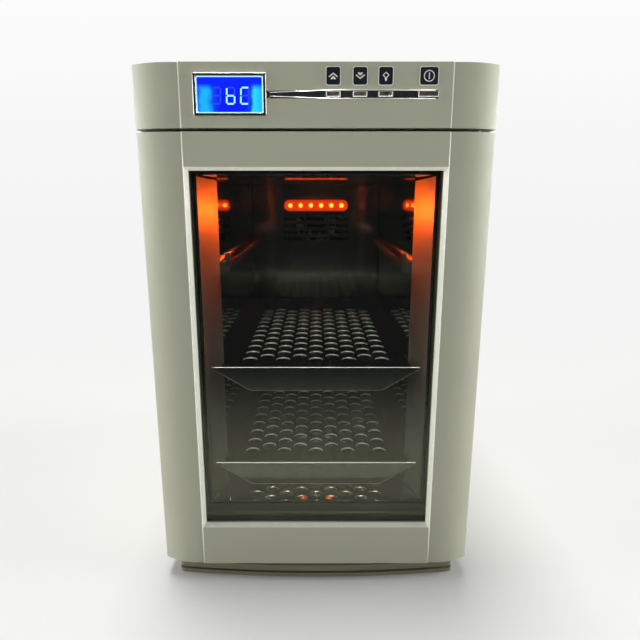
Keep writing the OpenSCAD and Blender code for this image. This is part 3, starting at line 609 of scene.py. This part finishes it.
class MouldedShells(Step, bpy.types.Operator):
    """Door, control head, collar and plinth: grained mouldings with soft corners"""
    bl_idname = "incubator.moulded_shells"
    bl_label = "Moulded shells"

    def build(self, colours, sizes):
        shell = spark_moulded_plastic("ABS, spark-grained, warm grey", colours.shell)
        collar = spark_moulded_plastic("ABS, spark-grained, grey", colours.collar)
        # The plinth's dark colour is painted shade from the door above it.
        plinth = spark_moulded_plastic("ABS, coarse grain, olive grey", colours.plinth, 0.5, 0.66, 0.9, 0.05)
        for node, material, radius in (("door_shell", shell, 1.0), ("head_shell", shell, 1.0),
                                       ("door_back_panel", collar, 0.7), ("front_collar", collar, 0.7),
                                       ("base_plinth", plinth, 1.0)):
            dress(node, sizes.shell_edge * radius, material, steps=3)
        self.bevel_painted_highlight(bpy.data.objects["door_shell_finished"], colours.bevel)

    def bevel_painted_highlight(self, door, colour):
        """The slope round the window is smooth plastic from the mould, painted pale as a painted highlight.
        """
        door.data.materials.append(smooth_plastic("ABS, smooth, pale, window bevel", colour))
        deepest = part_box("door_shell")[0].y + 4.5 * MM
        low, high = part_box("window_outer_glass")
        for face in door.data.polygons:
            inside = low.x < face.center.x < high.x and low.z < face.center.z < high.z
            if inside and face.center.y < deepest and 0.1 < abs(face.normal.y) < 0.9:
                face.material_index = 1


class SheetMetal(Step, bpy.types.Operator):
    """Painted wrap and back, plated floor, brackets, screws and supply can"""
    bl_idname = "incubator.sheet_metal"
    bl_label = "Sheet metal"

    def build(self, colours, sizes):
        paint = powder_coated_steel("Steel sheet, powder coated", colours.cabinet)
        zinc = rolled_metal("Steel sheet, zinc plated", colours.zinc, 0.3, 0.45, 1.2, (1, 1, 6))
        stand_for(shown("rear_panel_finished", clean_mesh("rear_panel", False)), "rear_panel", paint)
        for node, material in (("cabinet_wrap", paint), ("cabinet_floor", zinc),
                               ("hinge_bracket_top", zinc), ("hinge_bracket_bottom", zinc),
                               ("rear_panel_screws", zinc), ("power_supply", zinc)):
            dress(node, sizes.sheet_edge, material)


class Chamber(Step, bpy.types.Operator):
    """Stainless liner, air baffle, shelf rails and the two perforated shelves"""
    bl_idname = "incubator.chamber"
    bl_label = "Chamber"

    def build(self, colours, sizes):
        liner = rolled_metal("Stainless steel, bright rolled", colours.stainless, 0.03, 0.09, 0.6,
                             (1, 1, 0.08), wave_mm=70)
        shelf = rolled_metal("Stainless steel, punched sheet", colours.shelf, 0.07, 0.14, 0.5, (0.1, 1, 1),
                             wave_mm=90)
        panel = rolled_metal("Stainless steel, satin, duct cover", colours.stainless, 0.08, 0.13, 1.5,
                             (1, 1, 0.08))
        rail = rolled_metal("Stainless steel, folded strip", colours.stainless, 0.14, 0.26, 0.5, (1, 0.1, 1))
        dress("chamber_liner", sizes.sheet_edge, liner)
        dress("air_baffle", sizes.sheet_edge, panel)
        self.throat_cheeks(brushed_metal("Stainless steel, brushed, throat", colours.stainless))
        for side in ("left", "right"):
            for level in ("lower", "middle", "upper"):
                dress(f"rail_{side}_{level}", sizes.sheet_edge, rail)
        cut_edge_and_highlight = sheared_metal_and_highlight("Stainless steel, punched hole wall", colours.cut_edge_and_highlight)
        margin, stop_depth = 4 * MM, 8 * MM
        for node in ("shelf_lower", "shelf_upper"):
            piece = dress(node, sizes.hole_edge, shelf)
            piece.data.materials.append(cut_edge_and_highlight)
            low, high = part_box(node)
            # The hole walls take the pale cut edge: partly their own colour, partly a painted highlight.
            for face in piece.data.polygons:
                inside = low.x + margin < face.center.x < high.x - margin and face.center.y > low.y + margin
                if inside and face.center.y < high.y - stop_depth and abs(face.normal.z) < 0.95:
                    face.material_index = 1
            self.wide_lip(node, shelf, cut_edge_and_highlight)

    def throat_cheeks(self, steel):
        """Brushed plates on the two sloping sides of the throat."""
        mouth_low, mouth_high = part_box("chamber_liner")
        end_low, end_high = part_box("air_baffle")
        flange, fit, long, seat, proud = 3 * MM, 0.4 * MM, 28 * MM, 0.02 * MM, 0.2 * MM
        mouth_x, end_x = mouth_high.x - flange, end_high.x + fit
        for side, sign in (("left", -1), ("right", 1)):
            form, rings = bmesh.new(), []
            for lift in (seat, proud):
                rings.append([form.verts.new((sign * (x - lift), y, z)) for x, y, z in (
                    (mouth_x, mouth_low.y + proud, mouth_low.z + flange + MM),
                    (mouth_x, mouth_low.y + proud, mouth_high.z - flange - MM),
                    (end_x, mouth_low.y + long, end_high.z + fit - MM),
                    (end_x, mouth_low.y + long, end_low.z - fit + MM))])
            form.faces.new(rings[0])
            form.faces.new(rings[1][::-1])
            band(form, *rings)
            trim_on(from_bmesh("throat_cheek_" + side, form), "chamber_liner", steel)

    def wide_lip(self, node, face_steel, edge_steel_and_highlight):
        """Folded strip that closes round the front of a shelf and reaches into the throat on both sides."""
        low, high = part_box(node)
        top = high.z - 9 * MM
        half, foot, corner, round_steps = 93.5 * MM, 60 * MM, 7 * MM, 5
        above, end_height, edge_radius = 0.1 * MM, 1.6 * MM, 0.5 * MM
        drop, front, back = top - low.z, low.y - 0.1 * MM, low.y + 1.3 * MM
        right = [(half, above), (half, -end_height)]
        turn = math.pi / 2 - math.atan2(half - foot, drop - end_height)
        for i in range(round_steps + 1):
            a = turn * (1 - i / round_steps)
            right.append((foot - corner * math.tan(turn / 2) + corner * math.sin(a),
                          -drop + corner * (1 - math.cos(a))))
        outline = right + [(-x, z) for x, z in reversed(right)]
        form = bmesh.new()
        flat_shape(form, [(x, top + z) for x, z in outline], front, back - front)
        lip = rounded(from_bmesh(node + "_lip", form), edge_radius, 3)
        trim_on(lip, node, face_steel)
        lip.data.materials.append(edge_steel_and_highlight)
        # The lip's edges take the pale cut edge as a painted highlight line.
        for face in lip.data.polygons:
            face.material_index = int(abs(face.normal.y) < 0.97)


class ChamberLamp(Step, bpy.types.Operator):
    """Row of amber lamps on their board, behind a long lens"""
    bl_idname = "incubator.chamber_lamp"
    bl_label = "Chamber lamp"

    def build(self, colours, sizes):
        finish_node("lamp_board", circuit_laminate("Circuit board, green mask, lamps", linear("2C6B3A")))
        dress("lamp_lens", 0.4 * MM,
              frosted_lamp_lens("Acrylic, clear, lamp lens", linear("FFC890")), steps=3)
        low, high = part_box("lamp_board")
        centre = (low + high) / 2
        lens_low, lens_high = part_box("lamp_lens")
        lens = lens_high - lens_low
        self.chips(Vector((centre.x, low.y, centre.z)), lens.x - lens.z)
        self.amber_light("Chamber lamp glow", (centre.x, lens_low.y - 1 * MM, centre.z), (0, -1, 0),
                         (high.x - low.x, 4 * MM), 0.5, ("rail_",))
        side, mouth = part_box("chamber_liner")[1].x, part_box("chamber_liner")[0].y
        from_side, from_mouth, spot = 52 * MM, 32 * MM, 14 * MM
        for sign in (-1, 1):
            place = (sign * (side - from_side), mouth + from_mouth, centre.z)
            self.amber_light("Throat glow", place, (sign * 0.92, -0.38, 0), (spot, spot), 0.095,
                             ("throat_cheek_",))

    def chips(self, centre, run, count=6):
        """The lamps themselves: low domes in a row on the board."""
        form = bmesh.new()
        pitch = (run - 2 * MM) / (count - 1)
        dome = [(2.9 * MM, 0), (2.8 * MM, -0.06 * MM), (2.2 * MM, -0.1 * MM), (0, -0.12 * MM)]
        for i in range(count):
            turned(form, dome, Vector((centre.x + (i - (count - 1) / 2) * pitch, centre.y, centre.z)))
        lamps = from_bmesh("lamp_chips", form, solid=False)
        lamps.data.shade_smooth()
        trim_on(lamps, "lamp_board", lit_plastic("Lamp chip, phosphor, lit", linear("FFC060"), 6.0))

    def amber_light(self, name, place, direction, size, energy, lit):
        """Light of the lamps on the pieces whose names start with one of the lit ones."""
        light = bpy.data.lights.new(name, "AREA")
        light.shape = "RECTANGLE"
        light.size, light.size_y = size
        light.energy = energy
        light.color = bpy.context.scene.incubator_colours.lamp
        lamp = aimed(name, light, Vector(direction))
        lamp.location = place
        lamp.visible_camera = lamp.visible_transmission = False
        lamp.light_linking.receiver_collection = collected("Lit by " + name.lower(), lit)


class Window(Step, bpy.types.Operator):
    """Double glazing with its black spacer, and the rubber seal behind the door"""
    bl_idname = "incubator.window"
    bl_label = "Window and seal"

    def build(self, colours, sizes):
        glass = float_glass("Float glass, clear", linear("F0F3EF"))
        for node in ("window_outer_glass", "window_inner_glass"):
            dress(node, 0.5 * MM, glass)
        spacer = spark_moulded_plastic("Polyamide, black, glazing spacer", linear("0B0B0C"), 0.5, 0.65)
        dress("window_spacer", 0.4 * MM, spacer)
        dress("door_gasket", 0.8 * MM,
              vulcanised_rubber("Silicone rubber, dark, door seal", colours.rubber), steps=3)


class Display(Step, bpy.types.Operator):
    """Plated frame, lit panel and the segments of its digits"""
    bl_idname = "incubator.display"
    bl_label = "Display"

    def build(self, colours, sizes):
        dress("display_bezel", 0.7 * MM,
              chrome_plate("Chromed ABS, display frame", colours.chrome), steps=3)
        low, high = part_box("display_module")
        dress("display_module", 0.3 * MM,
              lit_display("Liquid crystal panel, lit blue", colours.backlight, colours.glow, low, high))
        self.frame_edges(colours)
        self.digits((low + high) / 2, low.y, colours, sizes)

    def digits(self, centre, front, colours, sizes):
        """Seven-segment digits: the lit segments, and the faint ones that are off."""
        w, h = sizes.digit_w, sizes.digit_h
        ends = {"a": ((0, h), (w, h)), "b": ((w, h), (w, h / 2)), "c": ((w, h / 2), (w, 0)),
                "d": ((0, 0), (w, 0)), "e": ((0, 0), (0, h / 2)), "f": ((0, h / 2), (0, h)),
                "g": ((0, h / 2), (w, h / 2))}
        shown_as = ["", "cdefg", "adef"]
        from_left, from_foot, slant, gap = 12.8 * MM, 6.0 * MM, 0.04, 0.14
        lit, ghost = bmesh.new(), bmesh.new()
        for place, letters in enumerate(shown_as):
            x0, z0 = centre.x - from_left + place * sizes.digit_pitch, centre.z - from_foot
            for name, (a, b) in ends.items():
                points = [(x0 + x + z * slant, z0 + z) for x, z in (a, b)]
                shorter = [Vector(points[0]).lerp(points[1], t) for t in (gap, 1 - gap)]
                form, thick = (lit, 0.10 * MM) if name in letters else (ghost, 0.06 * MM)
                flat_shape(form, stroke_points(*shorter, sizes.segment), front - thick, thick)
        for form, name, colour, strength in ((lit, "digit_segments", colours.digits, 1.0),
                                             (ghost, "digit_segments_off", linear("1E48F8"), 0.8)):
            trim_on(from_bmesh(name, form), "display_module",
                    lit_plastic("Liquid crystal segment, " + name, colour, strength))

    def frame_edges(self, colours):
        """Bright outer bead of the plated frame, and the lit rim of the light guide inside it."""
        low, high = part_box("display_bezel")
        centre = ((low.x + high.x) / 2, (low.z + high.z) / 2)
        half_w, half_h = (high.x - low.x) / 2, (high.z - low.z) / 2
        bead, proud, wall, rim, depth = 0.34 * MM, 0.2 * MM, 2.4 * MM, 0.35 * MM, 1.0 * MM
        satin = chrome_plate("Chromed ABS, satin bead", colours.bead, 0.28, 0.36)
        guide = lit_plastic("Acrylic light guide, lit rim", colours.rim, 0.85)
        for name, inset, y, radius, material in (
                ("display_frame_bead", bead - proud, low.y + bead, bead, satin),
                ("light_guide_rim", wall, low.y + depth, rim, guide)):
            form = bmesh.new()
            path = rounded_corners(centre, half_w - inset, half_h - inset, 1.3 * MM)
            round_edge(form, path, y, radius, True)
            piece = from_bmesh(name, form)
            piece.data.shade_smooth()
            trim_on(piece, "display_bezel", material)


class Controls(Step, bpy.types.Operator):
    """Plated trim bar and keys, and the printed plates with their signs"""
    bl_idname = "incubator.controls"
    bl_label = "Controls"

    def build(self, colours, sizes):
        dress("trim_bar", 0.75 * MM, chrome_plate("Chromed ABS, trim bar", colours.chrome), steps=4)
        self.bar_edges(colours)
        self.plated_keys(colours)
        plate = spark_moulded_plastic("Polyester film, dark, printed", colours.plate, 0.25, 0.38, 0.5, 0.01)
        dress("legend_plates", 0.2 * MM, plate)
        self.legend_signs(colours.print_ink, sizes.stroke)

    def plated_keys(self, colours):
        """Plated keys with a pale rim at the front: pale plastic on the plated edge as a painted highlight.
        """
        key = chrome_plate("Chromed ABS, keys", colours.key, 0.08, 0.2)
        rim, rim_depth = smooth_plastic("ABS, pale, key rims", colours.bead), 0.25 * MM
        for node in KEYS:
            piece = dress(node, 0.2 * MM, key)
            piece.data.materials.append(rim)
            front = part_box(node)[0].y
            for face in piece.data.polygons:
                if face.center.y < front + rim_depth:
                    face.material_index = 1

    def legend_signs(self, colour, stroke):
        """Printed outline of each plate, and its sign: up, down, lamp and power."""
        low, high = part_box("legend_plates")
        z, half_h, thick = (low.z + high.z) / 2, (high.z - low.z) / 2, 0.06 * MM
        xs = [middle_of(node).x for node in KEYS]
        form = bmesh.new()

        def printed(points):
            flat_shape(form, points, low.y - thick, thick)

        outside, inside = 0.3 * MM, 0.25 * MM
        for x, half_w in zip(xs, (5.2 * MM, 5.2 * MM, 5.2 * MM, 6.7 * MM)):
            outer = rounded_corners((x, z), half_w + outside, half_h + outside, 1.9 * MM)
            inner = rounded_corners((x, z), half_w - inside, half_h - inside, 1.4 * MM)
            for i in range(len(outer)):
                j = (i + 1) % len(outer)
                if (Vector(outer[i]) - Vector(outer[j])).length > 1e-7:
                    printed([outer[i], outer[j], inner[j], inner[i]])
        self.print_arrows(printed, xs[:2], z, stroke * 1.1)
        self.print_lamp(printed, xs[2], z, stroke * 0.8)
        for first in (0, 180):
            printed(ring_points((xs[3], z), 3.6 * MM, stroke * 0.8, first, first + 180, 18))
        printed(stroke_points((xs[3], z + 1.9 * MM), (xs[3], z - 1.9 * MM), stroke))
        trim_on(from_bmesh("legend_signs", form), "legend_plates",
                spark_moulded_plastic("Screen ink, pale", colour, 0.5, 0.6, 0.5, 0.005))

    def print_arrows(self, printed, xs, z, stroke):
        """An open chevron over a filled one, upwards and then downwards."""
        reach, rise, tip_height, base_height = 2.9 * MM, 2.2 * MM, 1.7 * MM, 2.0 * MM
        filled = ((0, 2.0), (1.9, 0.2), (1.6, -0.4), (0, 0), (-1.6, -0.4), (-1.9, 0.2))
        for x, up in zip(xs, (1, -1)):
            tip, base = (x, z + up * tip_height), z - up * base_height
            for side in (-1, 1):
                printed(stroke_points(tip, (x + side * reach, tip[1] - up * rise), stroke))
            printed([(x + across * MM, base + up * height * MM) for across, height in filled])

    def print_lamp(self, printed, x, z, stroke):
        """A lamp bulb: a square on its corner, with a narrowing foot."""
        corners = ((0, 2.4), (2.1, 0.5), (0, -1.5), (-2.1, 0.5))
        bulb = [(x + across * MM, z + height * MM) for across, height in corners]
        for a, b in zip(bulb, bulb[1:] + bulb[:1]):
            printed(stroke_points(a, b, stroke))
        foot = ((-1.0, -1.5), (1.0, -1.5), (0.4, -3.5), (-0.4, -3.5))
        printed([(x + across * MM, z + height * MM) for across, height in foot])

    def bar_edges(self, colours):
        """Bright beads along the upper and lower edge of the trim bar."""
        low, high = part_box("trim_bar")
        z, bead, proud, end = (low.z + high.z) / 2, 0.28 * MM, 0.1 * MM, 3 * MM
        stations = ((3, 1.4), (30, 2.4), (46, 3.0))  # millimetres along the bar, and its half height there
        material = chrome_plate("Chromed ABS, satin edge", colours.bead, 0.28, 0.36)
        for name, sign in (("trim_bead_upper", 1), ("trim_bead_lower", -1)):
            path = [(low.x + x * MM, z + sign * (reach * MM - bead + proud)) for x, reach in stations]
            path.append((high.x - end, path[-1][1]))
            form = bmesh.new()
            round_edge(form, path, low.y + bead - proud, bead, False)
            piece = from_bmesh(name, form)
            piece.data.shade_smooth()
            trim_on(piece, "trim_bar", material)


class Cooling(Step, bpy.types.Operator):
    """Fans, heat sinks, thermoelectric module and the fan housing on the back"""
    bl_idname = "incubator.cooling"
    bl_label = "Cooling"

    def build(self, colours, sizes):
        nylon = spark_moulded_plastic("Glass-filled polyamide, black", colours.black, 0.4, 0.55, 0.6, 0.03)
        sink = rolled_metal("Aluminium, extruded", colours.aluminium, 0.3, 0.42, 0.4, (1, 1, 0.1))
        for node in ("fan_housing", "circulation_fan_frame", "circulation_fan_rotor", "exhaust_fan_frame",
                     "exhaust_fan_rotor"):
            dress(node, 0.5 * MM, nylon)
        for node in ("cold_heat_sink", "hot_heat_sink"):
            dress(node, 0.15 * MM, sink, steps=1)
        ceramic = spark_moulded_plastic("Alumina ceramic, white", linear("ECEAE4"), 0.5, 0.62, 0.4, 0.01)
        dress("thermoelectric_module", 0.3 * MM, ceramic)


class SmallParts(Step, bpy.types.Operator):
    """Feet, rest pad, hinge bushes, mains inlet, foam and the control board"""
    bl_idname = "incubator.small_parts"
    bl_label = "Small parts"

    def build(self, colours, sizes):
        rubber = vulcanised_rubber("Nitrile rubber, moulded, black", colours.rubber)
        for node in ("foot_front_left", "foot_front_right", "foot_rear_left", "foot_rear_right",
                     "door_rest_pad"):
            dress(node, 0.4 * MM, rubber)
        acetal = spark_moulded_plastic("Acetal, turned, white", linear("E6E5DF"), 0.3, 0.42, 0.4, 0.01)
        for node in ("hinge_bush_top", "hinge_bush_bottom"):
            dress(node, 0.3 * MM, acetal)
        inlet = spark_moulded_plastic("Polyamide, black, mains inlet", colours.black, 0.35, 0.5)
        dress("power_inlet", 0.4 * MM, inlet)
        finish_node("insulation", rigid_foam("Polyurethane foam, rigid", linear("E8DFB8")))
        finish_node("control_board", circuit_laminate("Circuit board, green mask", linear("1E5A34")))


class Studio(Step, bpy.types.Operator):
    """Floor, backdrop, soft lamps, world and camera"""
    bl_idname = "incubator.studio"
    bl_label = "Studio"

    def build(self, colours, sizes):
        scene = bpy.context.scene
        studio = scene.incubator_studio
        scene.view_settings.view_transform = "Standard"
        paper_sweep(studio.floor)
        world_light(scene)
        for name, direction, degrees, level in (
                ("Right light", (1.0, 0.05, 0.07), 35, 1.32),
                ("Left light", (-1.0, 0.0, 0.07), 35, 1.06),
                ("Front light", (-0.2, -1.0, 0.7), 50, 0.05),
                ("Top light", (-0.08, 0.16, 1.0), 22, 0.8)):
            far_light(name, Vector(direction), degrees, level).visible_glossy = name != "Top light"
        edge_light()
        dark_reflection_card()
        camera = bpy.data.cameras.new("Camera")
        camera.lens = studio.lens
        camera.sensor_width = 36
        camera.shift_x = studio.shift
        eye = bpy.data.objects.new("Camera", camera)
        eye.location = (0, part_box("door_shell")[0].y - studio.camera_distance, studio.camera_height)
        eye.rotation_euler = (math.pi / 2 - studio.camera_pitch, 0, 0)
        scene.collection.objects.link(eye)
        scene.camera = eye


def seen_rays(tree):
    """1 for rays that the camera, a mirror or glass sends out, else 0."""
    ray = add(tree, "LightPath")
    eye = add(tree, "Math", {0: ray.outputs["Is Camera Ray"], 1: ray.outputs["Is Glossy Ray"]},
              operation="MAXIMUM")
    return add(tree, "Math", {0: eye.outputs[0], 1: ray.outputs["Is Transmission Ray"]},
               operation="MAXIMUM").outputs[0]


def sheet(name, section, half):
    """An open sheet with this section in Y and Z, reaching this far to each side."""
    form = bmesh.new()
    rows = [[form.verts.new((x, y, z)) for x in (-half, half)] for y, z in section]
    for first, second in zip(rows, rows[1:]):
        form.faces.new((first[0], first[1], second[1], second[0]))
    return from_bmesh(name, form, solid=False)


def paper_sweep(colour):
    """Pale floor that curves up behind, bright to the eye and matt to the lamps."""
    half, front, back, radius, top, steps = 7.0, -7.0, 0.5, 4.0, 7.0, 24
    section = [(front, 0.0), (back, 0.0)]
    for i in range(1, steps + 1):
        a = math.radians(90 * i / steps)
        section.append((back + radius * math.sin(a), radius * (1 - math.cos(a))))
    section.append((back + radius, top))
    floor = sheet("studio_floor", section, half)
    floor.data.shade_smooth()
    material, tree, shader, place = new_material("Paper sweep, matt white")
    put(tree, shader, {"Base Color": tint(tree, place, colour, 400, 0.01), "Roughness": 0.95})
    parts = add(tree, "SeparateXYZ", {"Vector": place})
    rising = spanned(tree, parts.outputs[2], 0.0, 2.0, 0.9, 1.02)
    glow = add(tree, "Emission", {"Color": (1, 1, 1, 1), "Strength": rising})
    eye = seen_rays(tree)
    away = spanned(tree, parts.outputs[1], -0.35, 0.9, 0.08, 0.95, "SMOOTHSTEP")
    share = add(tree, "Math", {0: eye, 1: away}, operation="MULTIPLY")
    mixed = add(tree, "MixShader", {0: share.outputs[0], 1: shader.outputs[0], 2: glow.outputs[0]})
    put(tree, tree.nodes["Material Output"], {"Surface": mixed.outputs[0]})
    floor.data.materials.append(material)


def world_light(scene):
    """Even pale surroundings: white to the eye, a soft grey fill for the object."""
    world = bpy.data.worlds.new("Studio")
    world.use_nodes = True
    tree = world.node_tree
    tree.nodes.clear()
    eye = seen_rays(tree)
    fill = add(tree, "Background", {"Color": (1, 1, 1, 1), "Strength": 0.14})
    white = add(tree, "Background", {"Color": (1, 1, 1, 1), "Strength": 1.0})
    mixed = add(tree, "MixShader", {0: eye, 1: fill.outputs[0], 2: white.outputs[0]})
    add(tree, "OutputWorld", {"Surface": mixed.outputs[0]})
    scene.world = world


def far_light(name, direction, degrees, level):
    """Soft light from far off; at a level of 1 it shows a matt face turned to it in its own colour."""
    light = bpy.data.lights.new(name, "SUN")
    light.angle = math.radians(degrees)
    light.energy = math.pi * level
    return aimed(name, light, -direction)


def edge_light():
    """Light from the front and above that picks out the edges of the bare and plated metal."""
    lamp = far_light("Edge light", Vector((-0.12, -1.0, 0.84)), 20, 3.2)
    lamp.visible_diffuse = False
    lamp.light_linking.receiver_collection = collected(
        "Metal edges", ("shelf_", "rail_", "display_bezel_", "display_frame_", "trim_", "button_"))


def dark_reflection_card():
    """A dark sheet in front of the door and up behind the camera that only glass and metal see: a painted
    dark reflection.
    """
    start, far, half, low, high = CAD_BOX[0].y - 0.03, -1.5, 1.6, 0.004, 1.9
    card = sheet("studio_dark_card", ((start, low), (far, low), (far, high)), half)
    material, tree, shader, place = new_material("Wool cloth, dark grey, pale at its near edge")
    parts = add(tree, "SeparateXYZ", {"Vector": place})
    # Pale towards the door: a painted reflection of the lit bench, seen in the metal's lower edges.
    near = spanned(tree, parts.outputs[1], -0.75, -0.3, curve="SMOOTHSTEP")
    put(tree, shader, {"Base Color": blend(tree, near, opaque(linear("1A1B1E")), opaque(linear("A8A692"))),
                       "Roughness": 0.95})
    card.data.materials.append(material)
    card.visible_camera = card.visible_diffuse = card.visible_shadow = False


PIECES = (MouldedShells, SheetMetal, Chamber, ChamberLamp, Window, Display, Controls, Cooling, SmallParts,
          Studio)


class IncubatorPanel(bpy.types.Panel):
    """Lists the pieces of the incubator"""
    bl_idname = "VIEW3D_PT_incubator"
    bl_label = "Incubator"
    bl_space_type = "VIEW_3D"
    bl_region_type = "UI"
    bl_category = "Incubator"

    def draw(self, context):
        for piece in PIECES:
            self.layout.operator(piece.bl_idname)


GROUPS = {"incubator_colours": IncubatorColours, "incubator_sizes": IncubatorSizes,
          "incubator_studio": IncubatorStudio}


def register():
    for group in GROUPS.values():
        bpy.utils.register_class(group)
    for name, group in GROUPS.items():
        setattr(bpy.types.Scene, name, bpy.props.PointerProperty(type=group))
    for piece in (*PIECES, IncubatorPanel):
        bpy.utils.register_class(piece)


def unregister():
    for piece in (IncubatorPanel, *reversed(PIECES)):
        bpy.utils.unregister_class(piece)
    for name, group in GROUPS.items():
        delattr(bpy.types.Scene, name)
        bpy.utils.unregister_class(group)


def main():
    register()
    for piece in PIECES:
        category, name = piece.bl_idname.split(".")
        getattr(getattr(bpy.ops, category), name)()


if __name__ == "__main__":
    main()
